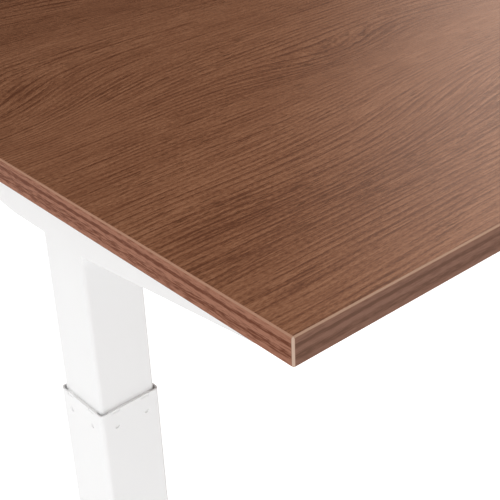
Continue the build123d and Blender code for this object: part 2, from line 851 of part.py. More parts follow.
with BuildPart() as control_box_cover:
    with Locations((control_box_x, control_box_y, inlet_z)):
        Box(control_box_length, control_box_width, control_cover_height)
    fillet(control_box_cover.edges().filter_by(Axis.Z), 6)
    fillet(control_box_cover.edges().group_by(Axis.Z)[0], 3)
    with Locations((control_box_x, control_box_y, inlet_z + control_wall)):
        hollow_length = control_box_length - 2 * control_wall
        Box(hollow_length, control_box_width - 2 * control_wall, control_cover_height, mode=Mode.SUBTRACT)
    with Locations((inlet_x, control_box_y, inlet_z)):
        Box(4 * control_wall, inlet_width, inlet_height, mode=Mode.SUBTRACT)
    # Cooling slots along both long walls.
    for row in (-1, 1):
        with Locations((control_box_x, control_box_y + row * control_box_width / 2, inlet_z)):
            with GridLocations(vent_pitch, 1, vent_count, 1):
                Box(vent_width, 4 * control_wall, vent_height, mode=Mode.SUBTRACT)
save(control_box_cover, "control_box_cover")

with BuildPart() as control_box_inlet:
    plane = Plane(origin=(inlet_x - 2, control_box_y, inlet_z), x_dir=(0, 1, 0), z_dir=(1, 0, 0))
    with BuildSketch(plane):
        RectangleRounded(inlet_width + 4, inlet_height + 4, 2)
    extrude(amount=2)
    with BuildSketch(plane):
        Rectangle(inlet_width - 0.2, inlet_height - 0.2)
    extrude(amount=inlet_depth)
    with BuildSketch(plane):
        RectangleRounded(inlet_width - 4, inlet_height - 4, 2)
    extrude(amount=inlet_depth - 2, mode=Mode.SUBTRACT)
    with BuildSketch(plane.offset(4)):
        with Locations((-6, -1.5), (0, 2), (6, -1.5)):
            Rectangle(1.8, 4)
    extrude(amount=inlet_depth - 6)
save(control_box_inlet, "control_box_inlet")


# ---- Handset ----

handset_mid_z = under_z - handset_height / 2
handset_mid_y = handset_front_y + handset_depth / 2

with BuildPart() as handset_case:
    with Locations((handset_x, handset_mid_y, handset_mid_z)):
        Box(handset_width, handset_depth, handset_height)
    fillet(handset_case.edges().filter_by(Axis.Z), 5)
    fillet(handset_case.edges().group_by(Axis.Z)[0], 2)
    with Locations((handset_x, handset_mid_y, under_z - handset_ear_thickness / 2)):
        Box(handset_width + 2 * handset_ear, handset_ear_depth, handset_ear_thickness)
    # Its opening is at the front, so the hollow starts there and stops short of the back wall.
    with Locations((handset_x, handset_front_y, handset_mid_z)):
        hollow_depth = 2 * (handset_depth - handset_wall)
        Box(handset_width - 2 * 5, hollow_depth, handset_height - 2 * handset_wall, mode=Mode.SUBTRACT)
    with BuildSketch(Plane.XY.offset(under_z)):
        with Locations(*handset_screws):
            Circle(wood_screw_diameter / 2)
    extrude(amount=-handset_ear_thickness, mode=Mode.SUBTRACT)
save(handset_case, "handset_case")

fascia_width = handset_width - 2 * 5
fascia_height = handset_height - 2 * handset_wall
with BuildPart() as handset_fascia:
    fascia_plane = Plane.XZ.offset(-handset_front_y)
    with BuildSketch(fascia_plane):
        with Locations((handset_x, handset_mid_z)):
            Rectangle(fascia_width, fascia_height)
        with Locations(*[(handset_x + dx, handset_mid_z) for dx, _ in handset_buttons]):
            RectangleRounded(button_width + 0.6, button_height + 0.6, 1.8, mode=Mode.SUBTRACT)
    extrude(amount=-fascia_thickness)
save(handset_fascia, "handset_fascia")


def handset_button(dx, mark):
    """A push button with a retaining lip behind the fascia and a raised mark on its face."""
    with BuildPart() as button:
        with BuildSketch(Plane.XZ.offset(-handset_front_y + button_proud)):
            with Locations((handset_x + dx, handset_mid_z)):
                RectangleRounded(button_width, button_height, 1.5)
        extrude(amount=-(button_proud + fascia_thickness + 1.0))
        with BuildSketch(Plane.XZ.offset(-handset_front_y - fascia_thickness)):
            with Locations((handset_x + dx, handset_mid_z)):
                Rectangle(button_width + 3, button_height + 2)
        extrude(amount=-1.0)
        with BuildSketch(Plane.XZ.offset(-handset_front_y + button_proud)):
            with Locations((handset_x + dx, handset_mid_z)):
                if mark:
                    Triangle(c=5, a=4.2, b=4.2, rotation=0 if mark > 0 else 180)
                else:
                    Circle(1.6)
        extrude(amount=-0.3, mode=Mode.SUBTRACT)
    return button


for (dx, mark), button_name in zip(handset_buttons, ("up_button", "down_button", "memory_button")):
    save(handset_button(dx, mark), button_name)
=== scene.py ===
"""A height-adjustable desk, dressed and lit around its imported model.

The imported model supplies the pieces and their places. This script gives each piece its finish, builds finer screws,
spindles and bearings in place of the plain ones, and adds ribs. Lengths are in metres unless a name says otherwise.
"""

import json
import logging
import math
from abc import ABC, abstractmethod
from dataclasses import dataclass, replace
from enum import Enum
from typing import Optional, Sequence, Union

import bmesh
import bpy
from mathutils import Matrix, Vector


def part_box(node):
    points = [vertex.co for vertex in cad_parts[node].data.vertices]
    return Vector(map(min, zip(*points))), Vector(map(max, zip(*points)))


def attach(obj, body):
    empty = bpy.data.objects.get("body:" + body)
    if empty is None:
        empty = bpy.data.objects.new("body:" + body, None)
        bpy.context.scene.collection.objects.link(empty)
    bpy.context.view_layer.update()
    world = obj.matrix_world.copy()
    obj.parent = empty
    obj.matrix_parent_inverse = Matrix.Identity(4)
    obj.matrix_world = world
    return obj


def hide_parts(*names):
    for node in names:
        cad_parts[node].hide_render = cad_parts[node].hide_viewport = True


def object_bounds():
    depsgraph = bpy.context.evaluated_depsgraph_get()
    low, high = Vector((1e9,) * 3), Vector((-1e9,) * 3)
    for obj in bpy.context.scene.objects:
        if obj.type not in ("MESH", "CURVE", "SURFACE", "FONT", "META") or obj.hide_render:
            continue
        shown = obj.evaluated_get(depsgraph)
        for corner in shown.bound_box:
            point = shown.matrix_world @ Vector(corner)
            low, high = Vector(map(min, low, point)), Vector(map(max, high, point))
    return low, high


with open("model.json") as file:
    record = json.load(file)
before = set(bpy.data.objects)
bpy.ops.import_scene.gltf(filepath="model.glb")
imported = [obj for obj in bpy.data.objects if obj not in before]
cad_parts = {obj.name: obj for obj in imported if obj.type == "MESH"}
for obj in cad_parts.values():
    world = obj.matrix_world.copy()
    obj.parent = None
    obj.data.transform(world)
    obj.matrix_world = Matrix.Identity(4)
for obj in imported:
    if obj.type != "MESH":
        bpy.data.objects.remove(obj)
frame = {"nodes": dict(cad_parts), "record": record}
cad_low, cad_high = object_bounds()

log = logging.getLogger("desk")

Colour = tuple[float, float, float]
Triple = tuple[float, float, float]
Socket = bpy.types.NodeSocket
Value = Union[float, Socket]

SIDES = ("left", "right")
UNTURNED = Vector((0, 0, 0))


class Along(Enum):
    """The direction in which a grain, a brushed line or a moulding flow runs."""

    LENGTH = 0
    DEPTH = 1
    HEIGHT = 2


# ---- Node trees ----


class NodeTree:
    """A node tree, with short methods for the nodes that materials, geometry and the world share."""

    def __init__(self, tree: bpy.types.NodeTree) -> None:
        """Keeps the tree."""
        self.tree = tree

    def node(self, kind: str, feeds: Optional[dict[str, object]] = None, **settings: object) -> bpy.types.Node:
        """Adds a node, applies its settings and feeds its named inputs.

        Args:
            kind: The node's type.
            feeds: A socket or a constant for each named input.
            settings: The node's own settings.

        Returns:
            The node.
        """
        made = self.tree.nodes.new(kind)
        for key, value in settings.items():
            setattr(made, key, value)
        for label, value in (feeds or {}).items():
            self.feed(made.inputs[label], value)
        return made

    def feed(self, socket: Socket, value: object) -> None:
        """Links a socket to another socket, or sets its constant; a colour is made opaque."""
        if isinstance(value, bpy.types.NodeSocket):
            self.tree.links.new(value, socket)
        elif socket.type == "RGBA":
            socket.default_value = (*value, 1.0)
        else:
            socket.default_value = value

    def maths(self, operation: str, first: Value, second: Value = 0.0, third: Value = 0.0) -> Socket:
        """One arithmetic step on up to three values, and its result's socket."""
        made = self.node("ShaderNodeMath", operation=operation)
        for socket, value in zip(made.inputs, (first, second, third)):
            self.feed(socket, value)
        return made.outputs[0]

    def between(self, value: Value, low: float, high: float, to_low: float = 0.0, to_high: float = 1.0) -> Socket:
        """Maps a value smoothly from one range to another, held at the ends."""
        made = self.node("ShaderNodeMapRange", interpolation_type="SMOOTHSTEP")
        for socket, number in zip(made.inputs, (value, low, high, to_low, to_high)):
            self.feed(socket, number)
        return made.outputs[0]

    def swing(self, tone: Value, value: Socket, low: float, high: float, amount: float) -> Socket:
        """Moves a tone both ways by an amount, as a value goes from low to high."""
        return self.maths("MULTIPLY_ADD", self.between(value, low, high, -0.5, 0.5), amount, tone)

    def mix(self, share: Value, first: object, second: object) -> Socket:
        """Mixes two colours by a share of the second."""
        made = self.node("ShaderNodeMix", data_type="RGBA")
        for socket, value in zip((made.inputs[0], *made.inputs[6:8]), (share, first, second)):
            self.feed(socket, value)
        return made.outputs[2]


class Shader(NodeTree):
    """A material's node tree, with short methods for what the finishes share."""

    def __init__(self, name: str) -> None:
        """Creates the material and keeps its principled shader.

        Args:
            name: The material's name.
        """
        self.material = bpy.data.materials.new(name)
        self.material.use_nodes = True
        super().__init__(self.material.node_tree)
        self.surface = self.tree.nodes["Principled BSDF"]
        self.place = self.node("ShaderNodeTexCoord").outputs["Object"]

    def stretched(self, scale: Sequence[float], shift: Sequence[float] = (0, 0, 0)) -> Socket:
        """The object's coordinates, scaled for each axis and then shifted."""
        return self.node("ShaderNodeMapping", {"Vector": self.place, "Scale": scale, "Location": shift}).outputs[0]

    def figure(self, scale: Sequence[float], detail: float, roughness: float, shift: Triple = (0, 0, 0)) -> Socket:
        """Noise on the object's coordinates, scaled for each axis and then shifted."""
        return self.noise(self.stretched(scale, shift), detail, roughness)

    def noise(self, where: Socket, detail: float = 2.0, roughness: float = 0.5) -> Socket:
        """Fractal noise of about 0 to 1.

        Args:
            where: The coordinates it is read at.
            detail: The number of octaves.
            roughness: How strong each finer octave is.

        Returns:
            The value's socket.
        """
        feeds = {"Vector": where, "Scale": 1.0, "Detail": detail, "Roughness": roughness}
        return self.node("ShaderNodeTexNoise", feeds).outputs[0]

    def ramp(self, value: Socket, stops: Sequence[tuple[float, Colour]]) -> Socket:
        """Reads a colour from a ramp of (position, colour) stops."""
        made = self.node("ShaderNodeValToRGB", {"Fac": value})
        elements = made.color_ramp.elements
        while len(elements) < len(stops):
            elements.new(0.5)
        for element, (position, colour) in zip(elements, stops):
            element.position = position
            element.color = (*colour, 1.0)
        return made.outputs[0]

    def bump(self, height: Socket, depth: float, strength: float = 1.0) -> None:
        """Raises the surface by a height of 0 to 1 times a depth in metres."""
        made = self.node("ShaderNodeBump", {"Height": height, "Distance": depth, "Strength": strength})
        self.feed(self.surface.inputs["Normal"], made.outputs[0])

    def set(self, **values: object) -> None:
        """Sets or links the principled shader's inputs, named with underscores for spaces."""
        for key, value in values.items():
            name = {"ior_level": "Specular IOR Level"}.get(key, key.replace("_", " ").title())
            self.feed(self.surface.inputs[name], value)

    def normal_axes(self) -> tuple[Socket, Socket, Socket]:
        """The size of the surface normal's part along each axis."""
        made = self.node("ShaderNodeSeparateXYZ", {"Vector": self.node("ShaderNodeNewGeometry").outputs["Normal"]})
        return tuple(self.maths("ABSOLUTE", part) for part in made.outputs)

    def axes(self) -> tuple[Socket, Socket, Socket]:
        """The object coordinates, one by one."""
        return tuple(self.node("ShaderNodeSeparateXYZ", {"Vector": self.place}).outputs)


# ---- Finishes ----


class Finish(ABC):
    """A finish. Each kind of finish says how its shader is painted."""

    name: str

    def make(self) -> bpy.types.Material:
        """Builds the material.

        Returns:
            The finished material.
        """
        shader = Shader(self.name)
        self.paint(shader)
        return shader.material

    @abstractmethod
    def paint(self, shader: Shader) -> None:
        """Sets the shader's colour, roughness and bump."""


@dataclass(frozen=True)
class WalnutLaminate(Finish):
    """A printed walnut grain under a satin wear layer, running along the desktop's length."""

    name: str = "walnut_laminate"
    dark: Colour = (0.122, 0.043, 0.020)
    middle: Colour = (0.222, 0.091, 0.045)
    light: Colour = (0.315, 0.145, 0.078)
    pore: Colour = (0.096, 0.034, 0.014)
    rings_a_metre: float = 150.0
    # Where a flame figure opens: its place, its half size along and across, and its lift.
    hearts: tuple[tuple[float, ...], ...] = (
        (-0.690, 0.050, 0.120, 0.070, 0.074),
        (-0.480, -0.240, 0.130, 0.060, 0.014),
        (-0.180, -0.200, 0.180, 0.070, -0.045),
        (-0.320, -0.060, 0.090, 0.032, 0.034),
        (0.060, -0.050, 0.160, 0.040, 0.050),
        (0.420, 0.220, 0.220, 0.045, 0.060),
        (-0.300, 0.270, 0.200, 0.035, 0.045),
        (0.500, -0.240, 0.180, 0.034, 0.045),
    )

    def paint(self, shader: Shader) -> None:
        """Paints the laminate."""
        along, across, _ = shader.axes()
        drift = shader.figure((1.5, 4.0, 1.0), 1.0, 0.4, (0.35, 0.2, 0))
        sway = shader.figure((9.0, 30.0, 1.0), 1.0, 0.5, (3.1, 1.7, 0))
        warped = shader.maths("MULTIPLY_ADD", drift, 0.05, across)
        warped = shader.maths("MULTIPLY_ADD", sway, 0.0030, warped)
        near_heart: Value = 0.0
        for *place, lift in self.hearts:
            share = self._heart(shader, *place)
            warped = shader.maths("MULTIPLY_ADD", share, lift, warped)
            near_heart = shader.maths("MAXIMUM", share, near_heart)
        flow = shader.node("ShaderNodeCombineXYZ", {"X": along, "Y": warped}).outputs[0]

        def run(along_rate: float, across_rate: float, detail: float = 1.0) -> Socket:
            """Noise stretched along the drifting grain, with so many features to a metre."""
            feeds = {"Vector": flow, "Scale": (along_rate, across_rate, 1.0)}
            return shader.noise(shader.node("ShaderNodeMapping", feeds).outputs[0], detail, 0.6)

        spacing = run(0.6, 15.0)
        phase = shader.maths("MULTIPLY", warped, self.rings_a_metre)
        ring = shader.maths("FRACT", shader.maths("MULTIPLY_ADD", spacing, 2.6, phase))
        late_wood = shader.maths("POWER", ring, 2.4)
        flame = shader.figure((1.6, 9.0, 1.0), 2.0, 0.5, (5.3, 0.4, 0))
        flame = shader.maths("MULTIPLY_ADD", near_heart, 0.20, flame)
        fade = run(9.0, 70.0)
        ring_strength = shader.between(flame, 0.38, 0.64, 0.34, 0.80)
        ring_strength = shader.maths("MULTIPLY", ring_strength, shader.between(fade, 0.30, 0.60, 0.45, 1.0))
        rings = shader.maths("MULTIPLY", late_wood, ring_strength)
        lines = run(7.0, 330.0, 2.0)
        fibre = run(24.0, 620.0, 2.0)
        speckle = run(230.0, 620.0)
        pores = run(48.0, 430.0)
        patch = shader.figure((5.0, 16.0, 1.0), 1.0, 0.5, (2.2, 6.1, 0))
        broad = shader.figure((1.3, 11.0, 1.0), 2.0, 0.5, (8.2, 3.1, 0))
        tone = shader.maths("MULTIPLY_ADD", shader.between(broad, 0.3, 0.7), 0.24, 0.56)
        tone = shader.swing(tone, fibre, 0.34, 0.66, 0.48)
        tone = shader.swing(tone, speckle, 0.30, 0.70, 0.44)
        tone = shader.maths("SUBTRACT", tone, shader.between(lines, 0.33, 0.43, 0.46, 0.0))
        tone = shader.maths("ADD", tone, shader.between(lines, 0.58, 0.72, 0.0, 0.24))
        tone = shader.maths("SUBTRACT", tone, rings)
        colour = shader.ramp(tone, [(0.0, self.dark), (0.5, self.middle), (1.0, self.light)])
        open_pores = shader.between(patch, 0.42, 0.62, 0.15, 0.80)
        pitted = shader.maths("MULTIPLY", shader.between(pores, 0.57, 0.68), open_pores)
        colour = shader.mix(pitted, colour, self.pore)
        shader.set(base_color=colour, ior_level=0.42)
        shader.set(roughness=shader.between(fibre, 0.3, 0.7, 0.31, 0.25))
        shader.bump(shader.maths("SUBTRACT", fibre, pitted), 0.00003)

    @staticmethod
    def _heart(shader: Shader, x: float, y: float, half_x: float, half_y: float) -> Socket:
        """How near a point is to a flame figure: 1 at its place, falling off smoothly around it.

        Args:
            shader: The shader it is made in.
            x: Its place along the board.
            y: Its place across the board.
            half_x: Its half length.
            half_y: Its half width.

        Returns:
            The nearness's socket.
        """
        shift = (-x / half_x, -y / half_y, 0)
        feeds = {"Vector": shader.stretched((1 / half_x, 1 / half_y, 0), shift)}
        away = shader.node("ShaderNodeVectorMath", feeds, operation="LENGTH").outputs["Value"]
        squared = shader.maths("MULTIPLY", away, away)
        return shader.maths("EXPONENT", shader.maths("MULTIPLY", squared, -0.7))


@dataclass(frozen=True)
class WalnutEdge(Finish):
    """A printed edge band: dark veins along its length, and a pale line where its corners are machined round,
    brightened into a painted highlight.
    """

    name: str = "walnut_band_long_shaded"
    along: Along = Along.LENGTH
    # The long band's colours: darker, to paint in the shade on the desk's front and back edges.
    dark: Colour = (0.130, 0.060, 0.037)
    light: Colour = (0.222, 0.112, 0.076)
    # The pale colours of the rounded edges: the first is partly the band's own core, bared where it was machined
    # round, and partly painted highlight; the second, paler one is painted highlight on the upright rounded corners.
    milled_and_highlight: Colour = (0.430, 0.268, 0.187)
    corner: Colour = (0.560, 0.400, 0.310)
    fleck: float = 0.7
    # Dark printed veins: how far under the top each runs, its half width and its strength.
    veins: tuple[Triple, ...] = ((0.0074, 0.0019, 1.0), (0.0165, 0.0034, 0.66))

    def paint(self, shader: Shader) -> None:
        """Paints the edge band."""
        streak = shader.figure(self._run(6.0, 420.0), 2.0, 0.5, (0.3, 0.9, 0.55))
        fibre = shader.figure(self._run(85.0, 820.0), 2.0, 0.55)
        wander = shader.figure(self._run(4.0, 0.0), 1.0, 0.5, (2.2, 4.1, 0))
        height = shader.maths("MULTIPLY_ADD", shader.maths("SUBTRACT", wander, 0.5), 0.0018, shader.axes()[2])
        tone = shader.swing(0.92, fibre, 0.34, 0.66, self.fleck)
        tone = shader.swing(tone, streak, 0.34, 0.66, 0.42)
        for depth, half, strength in self.veins:
            away = shader.maths("ABSOLUTE", shader.maths("SUBTRACT", height, cad_high.z - depth))
            tone = shader.maths("SUBTRACT", tone, shader.between(away, half * 0.35, half * 1.5, strength, 0.0))
        colour = shader.ramp(tone, [(0.0, self.dark), (1.0, self.light)])
        normal_x, normal_y, _ = shader.normal_axes()
        facing = shader.maths("MAXIMUM", normal_x, normal_y)
        upright = shader.maths("MINIMUM", normal_x, normal_y)
        # Painted highlight: the rounded edges take the pale colour, and the upright corners a paler one still.
        milled_and_highlight = shader.mix(shader.between(upright, 0.1, 0.25), self.milled_and_highlight, self.corner)
        rounded = shader.between(facing, 0.70, 0.95, 1.0, 0.0)
        pale = shader.maths("MAXIMUM", rounded, shader.between(upright, 0.04, 0.14))
        colour = shader.mix(pale, colour, milled_and_highlight)
        shader.set(base_color=colour, ior_level=0.06)
        shader.set(roughness=shader.between(fibre, 0.3, 0.7, 0.42, 0.52))
        shader.bump(fibre, 0.00003)

    def _run(self, along: float, across: float) -> list[float]:
        """A scale with one figure along the band, another up it, and none through it."""
        scale = [0.0, 0.0, across]
        scale[self.along.value] = along
        return scale


@dataclass(frozen=True)
class PowderCoat(Finish):
    """Satin powder coat on steel, with its fine orange peel."""

    name: str = "white_powder_coat"
    colour: Colour = (0.915, 0.915, 0.915)
    shade: Colour = (0.875, 0.875, 0.876)
    roughness: float = 0.42

    def paint(self, shader: Shader) -> None:
        """Paints the coat."""
        cloud = shader.figure((9.0, 9.0, 7.0), 3.0, 0.55)
        peel = shader.figure((900.0, 900.0, 900.0), 2.0, 0.5)
        speck = shader.figure((260.0, 260.0, 260.0), 1.0, 0.4)
        share = shader.between(cloud, 0.25, 0.8, 0.0, 0.35)
        share = shader.maths("ADD", share, shader.between(speck, 0.74, 0.80, 0.0, 0.5))
        shader.set(base_color=shader.mix(share, self.colour, self.shade), ior_level=0.45)
        shader.set(roughness=shader.between(peel, 0.3, 0.7, self.roughness - 0.04, self.roughness + 0.05))
        shader.bump(peel, 0.00003, 0.6)


@dataclass(frozen=True)
class MouldedPlastic(Finish):
    """A moulded plastic with a fine spark-eroded texture and faint flow marks."""

    name: str
    colour: Colour
    roughness: float = 0.5
    grain_size: float = 0.0004
    depth: float = 0.00004

    def paint(self, shader: Shader) -> None:
        """Paints the plastic."""
        fineness = 1.0 / self.grain_size
        texture = shader.figure((fineness,) * 3, 2.0, 0.6)
        flow = shader.figure((30.0, 30.0, 90.0), 3.0, 0.6)
        worn = tuple(min(1.0, part * 1.22 + 0.006) for part in self.colour)
        tone = shader.between(shader.maths("ADD", flow, shader.maths("MULTIPLY", texture, 0.4)), 0.5, 0.95)
        shader.set(base_color=shader.mix(tone, self.colour, worn))
        shader.set(roughness=shader.between(texture, 0.3, 0.7, self.roughness - 0.06, self.roughness + 0.08))
        shader.bump(texture, self.depth)


@dataclass(frozen=True)
class WorkedMetal(Finish):
    """Bare or plated metal with tool lines along one direction, and soft stains."""

    name: str
    colour: Colour
    along: Along = Along.HEIGHT
    roughness: float = 0.34
    lines_a_metre: float = 2600.0
    depth: float = 0.00002

    def paint(self, shader: Shader) -> None:
        """Paints the metal."""
        scale = [self.lines_a_metre] * 3
        scale[self.along.value] = self.lines_a_metre / 60
        lines = shader.figure(scale, 2.0, 0.6)
        stain = shader.figure((46.0, 46.0, 46.0), 4.0, 0.6)
        dull = tuple(part * 0.72 for part in self.colour)
        stained = shader.between(stain, 0.35, 0.75, 0.0, 0.6)
        shader.set(metallic=1.0, base_color=shader.mix(stained, self.colour, dull))
        rough = shader.maths("MULTIPLY_ADD", shader.between(lines, 0.3, 0.7), 0.16, self.roughness - 0.06)
        rough = shader.maths("MULTIPLY_ADD", shader.between(stain, 0.4, 0.8), 0.10, rough)
        shader.set(roughness=rough)
        shader.bump(lines, self.depth)


@dataclass(frozen=True)
class ParticleBoard(Finish):
    """Raw pressed chips, seen only in the screws' holes."""

    name: str = "particle_board"

    def paint(self, shader: Shader) -> None:
        """Paints the board."""
        feeds = {"Vector": shader.stretched((420.0, 700.0, 1500.0)), "Scale": 1.0}
        cells = shader.node("ShaderNodeTexVoronoi", feeds)
        tone = shader.between(cells.outputs["Distance"], 0.1, 0.8)
        stops = [(0.0, (0.60, 0.44, 0.27)), (0.6, (0.42, 0.28, 0.16)), (1.0, (0.26, 0.16, 0.09))]
        shader.set(base_color=shader.ramp(tone, stops), roughness=0.9)
        shader.bump(tone, 0.0003)


class Finishes:
    """Every finish of the desk, made once, by the material slot it serves."""

    def __init__(self) -> None:
        """Makes the materials."""
        finishes = (
            ParticleBoard(),
            WalnutLaminate(),
            WalnutLaminate("backing_laminate", (0.15, 0.075, 0.047), (0.20, 0.105, 0.068), (0.25, 0.14, 0.09)),
            PowderCoat(),
            WorkedMetal("cast_housing", (0.58, 0.59, 0.60), roughness=0.55, lines_a_metre=700.0, depth=0.0002),
            PowderCoat("motor_steel", (0.030, 0.030, 0.033), (0.055, 0.055, 0.060), 0.36),
            WorkedMetal("gear_steel", (0.46, 0.45, 0.44), roughness=0.30),
            WorkedMetal("bearing_steel", (0.62, 0.62, 0.64), roughness=0.18),
            WorkedMetal("zinc_steel", (0.66, 0.67, 0.68), roughness=0.32),
            MouldedPlastic("nut_plastic", (0.72, 0.69, 0.60)),
            MouldedPlastic("glide_plastic", (0.86, 0.86, 0.85), 0.45),
            MouldedPlastic("cap_plastic", (0.84, 0.84, 0.84), 0.48),
            MouldedPlastic("leveller_plastic", (0.030, 0.030, 0.030), 0.55),
            MouldedPlastic("dark_plastic", (0.055, 0.056, 0.058), 0.5, 0.0007, 0.00008),
            MouldedPlastic("black_plastic", (0.018, 0.018, 0.019), 0.42),
            MouldedPlastic("button_plastic", (0.10, 0.10, 0.105)),
        )
        self.made = {finish.name: finish.make() for finish in finishes}
        # The long band's darker colours paint the shade on the front and back edges; the short band is a lit copy of
        # the same band, whose lighter colours paint the light falling on the desk's ends.
        self.made["walnut_band"] = WalnutEdge().make()
        self.lit_short_band = WalnutEdge(
            name="walnut_band_short_lit",
            along=Along.DEPTH,
            dark=(0.136, 0.038, 0.015),
            light=(0.335, 0.148, 0.092),
            milled_and_highlight=(0.430, 0.236, 0.158),
            fleck=1.05,
        ).make()

    def __getitem__(self, slot: str) -> bpy.types.Material:
        """The material for a slot."""
        return self.made[slot]


# ---- Pieces ----


def dress(node: str, material: bpy.types.Material) -> bpy.types.Object:
    """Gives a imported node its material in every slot, and returns the object."""
    piece = frame["nodes"][node]
    if not piece.material_slots:
        piece.data.materials.append(material)
    for held in piece.material_slots:
        held.material = material
    return piece


@dataclass(frozen=True)
class Solid:
    """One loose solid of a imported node, by its box."""

    low: Vector
    high: Vector

    @property
    def size(self) -> Vector:
        """Its length along each axis."""
        return self.high - self.low

    @property
    def centre(self) -> Vector:
        """The middle of its box."""
        return (self.low + self.high) / 2

    def seat(self, height: float) -> Vector:
        """The point on its upright axis at a height."""
        return Vector((self.centre.x, self.centre.y, height))


def solids(node: str) -> list[Solid]:
    """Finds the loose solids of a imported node.

    Args:
        node: The node's name.

    Returns:
        One box for each solid, in order of place.
    """
    mesh = bmesh.new()
    mesh.from_mesh(frame["nodes"][node].data)
    bmesh.ops.remove_doubles(mesh, verts=mesh.verts, dist=1e-6)
    found: list[Solid] = []
    seen: set[int] = set()
    for start in mesh.verts:
        if start.index in seen:
            continue
        seen.add(start.index)
        group, ahead = [], [start]
        while ahead:
            vertex = ahead.pop()
            group.append(vertex.co.copy())
            for edge in vertex.link_edges:
                other = edge.other_vert(vertex)
                if other.index not in seen:
                    seen.add(other.index)
                    ahead.append(other)
        found.append(Solid(Vector(map(min, zip(*group))), Vector(map(max, zip(*group)))))
    mesh.free()
    return sorted(found, key=lambda solid: tuple(round(part, 4) for part in solid.centre))


def place_mesh(name: str, mesh: bpy.types.Mesh) -> bpy.types.Object:
    """Puts a mesh in the scene as an unturned piece at the origin."""
    piece = bpy.data.objects.new(name, mesh)
    bpy.context.collection.objects.link(piece)
    return piece


def settle(piece: bpy.types.Object, body: str, slot: str, *nodes: str) -> None:
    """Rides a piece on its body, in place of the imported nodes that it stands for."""
    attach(piece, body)
    if nodes:
        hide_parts(*nodes)
    log.info("%s on %s", piece.name, body)


class GeometryTree(NodeTree):
    """A geometry node tree with named inputs."""

    def __init__(self, name: str, inputs: dict[str, str]) -> None:
        """Creates the tree.

        Args:
            name: The tree's name.
            inputs: The kind of socket of each input, by its name.
        """
        super().__init__(bpy.data.node_groups.new(name, "GeometryNodeTree"))
        self.tree.interface.new_socket("Geometry", in_out="INPUT", socket_type="NodeSocketGeometry")
        for label, kind in inputs.items():
            self.tree.interface.new_socket(label, in_out="INPUT", socket_type=f"NodeSocket{kind}")
        self.tree.interface.new_socket("Geometry", in_out="OUTPUT", socket_type="NodeSocketGeometry")
        self.inputs = self.node("NodeGroupInput").outputs

    def close(self, geometry: Socket) -> None:
        """Ends the tree: instances are made real and given the tree's finish."""
        real = self.node("GeometryNodeRealizeInstances", {"Geometry": geometry})
        feeds = {"Geometry": real.outputs[0], "Material": self.inputs["Finish"]}
        painted = self.node("GeometryNodeSetMaterial", feeds)
        self.node("NodeGroupOutput", {"Geometry": painted.outputs[0]})

    def grow(self, name: str, seed_mesh: bpy.types.Mesh, values: dict[str, object]) -> bpy.types.Object:
        """Runs the tree on a mesh and keeps the result as a plain piece.

        Args:
            name: The piece's name.
            seed_mesh: The mesh the tree starts from.
            values: A value for each named input.

        Returns:
            The finished piece.
        """
        seed = place_mesh(f"{name}_seed", seed_mesh)
        modifier = seed.modifiers.new("grow", "NODES")
        modifier.node_group = self.tree
        for item in self.tree.interface.items_tree:
            if item.in_out == "INPUT" and item.name in values:
                modifier[item.identifier] = values[item.name]
        seed.update_tag()
        bpy.context.view_layer.update()
        evaluated = seed.evaluated_get(bpy.context.evaluated_depsgraph_get())
        mesh = bpy.data.meshes.new_from_object(evaluated)
        mesh.name = name
        bpy.data.objects.remove(seed)
        return place_mesh(name, mesh)


def scatter_tree() -> GeometryTree:
    """A tree that stands a copy of one pattern piece on every point, spun at random about its own axis."""
    made = GeometryTree("scatter", {"Pattern": "Object", "Finish": "Material", "Spin": "Float", "Seed": "Int"})
    pattern = made.node("GeometryNodeObjectInfo", {"Object": made.inputs["Pattern"]})
    heading = made.node("GeometryNodeInputNamedAttribute", {"Name": "heading"}, data_type="FLOAT_VECTOR")
    turned = made.node("FunctionNodeEulerToRotation", {"Euler": heading.outputs["Attribute"]})
    feeds = {"Points": made.inputs["Geometry"], "Instance": pattern.outputs["Geometry"]}
    copies = made.node("GeometryNodeInstanceOnPoints", {**feeds, "Rotation": turned.outputs[0]})
    random = made.node("FunctionNodeRandomValue", {"Seed": made.inputs["Seed"]}, data_type="FLOAT")
    made.feed(random.inputs[3], made.inputs["Spin"])
    spin = made.node("ShaderNodeCombineXYZ", {"Z": random.outputs[1]})
    feeds = {"Instances": copies.outputs[0], "Rotation": spin.outputs[0]}
    made.close(made.node("GeometryNodeRotateInstances", feeds).outputs[0])
    return made


def points_mesh(places: Sequence[Vector], headings: Sequence[Vector]) -> bpy.types.Mesh:
    """A mesh of loose points, each with the heading of its copy.

    Args:
        places: The points.
        headings: The turns about X, Y and Z of each copy.

    Returns:
        The mesh.
    """
    mesh = bpy.data.meshes.new("places")
    mesh.from_pydata([tuple(place) for place in places], [], [])
    held = mesh.attributes.new("heading", "FLOAT_VECTOR", "POINT")
    held.data.foreach_set("vector", [part for heading in headings for part in heading])
    return mesh


